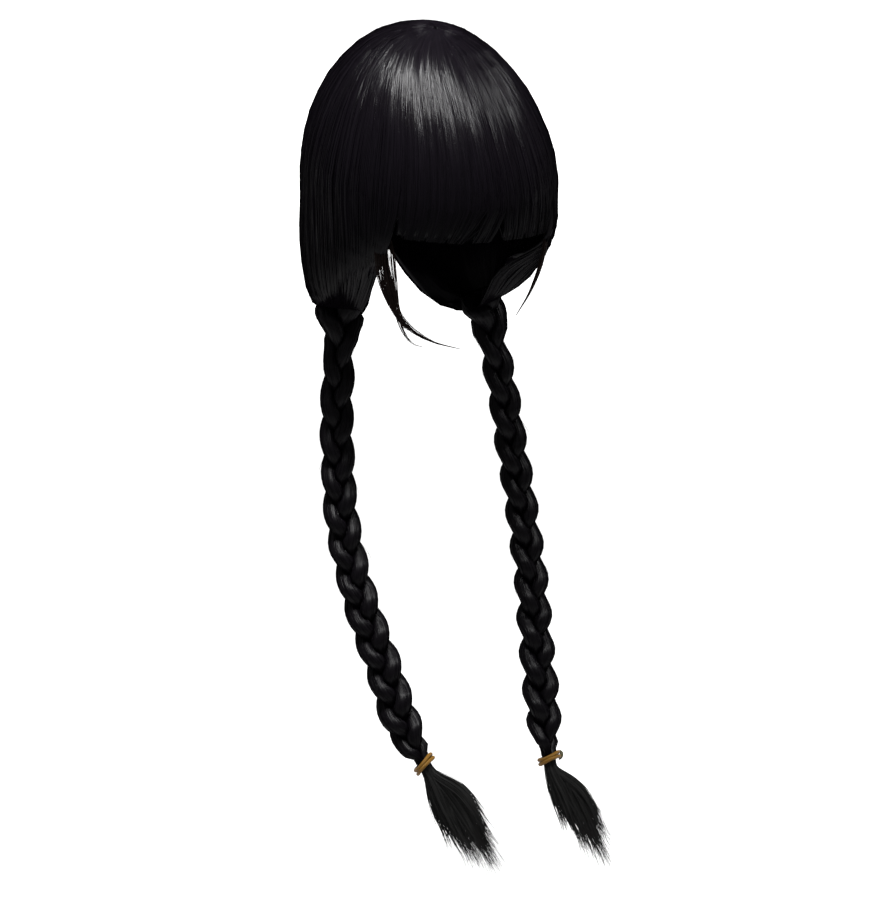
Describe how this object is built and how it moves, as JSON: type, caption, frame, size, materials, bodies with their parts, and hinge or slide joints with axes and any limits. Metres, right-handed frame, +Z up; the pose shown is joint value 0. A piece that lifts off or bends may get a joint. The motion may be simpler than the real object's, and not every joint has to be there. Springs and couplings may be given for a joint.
{
  "type": "pigtail wig",
  "caption": "Straight dark wig with a blunt fringe, gathered behind the ears into two long braids tied off above loose tails.",
  "frame": {"origin": "inner vertex of the cap, the point that sits on the crown of the head", "axes": "+Z up, the wearer looks along -Y, the wearer's right is at -X"},
  "size_m": [0.1826, 0.2495, 0.6288],
  "materials": {
    "cap_net": "matt net cap with sewn wefts",
    "hair": "smooth glossy straight fibre, near black",
    "hair_tail": "loose fibre ends, a little greyer than the rest",
    "elastic": "amber hair tie, satin"
  },
  "bodies": {
    "root": {"cap": "cap_net", "bangs": "hair", "side_hair_right": "hair", "side_hair_left": "hair", "temple_lock_right": "hair", "temple_lock_left": "hair", "braid_right_strand_1": "hair", "braid_right_strand_2": "hair", "braid_right_strand_3": "hair", "braid_left_strand_1": "hair", "braid_left_strand_2": "hair", "braid_left_strand_3": "hair", "elastic_right": "elastic", "elastic_left": "elastic", "tail_right": "hair_tail", "tail_left": "hair_tail"}
  },
  "joints": []
}
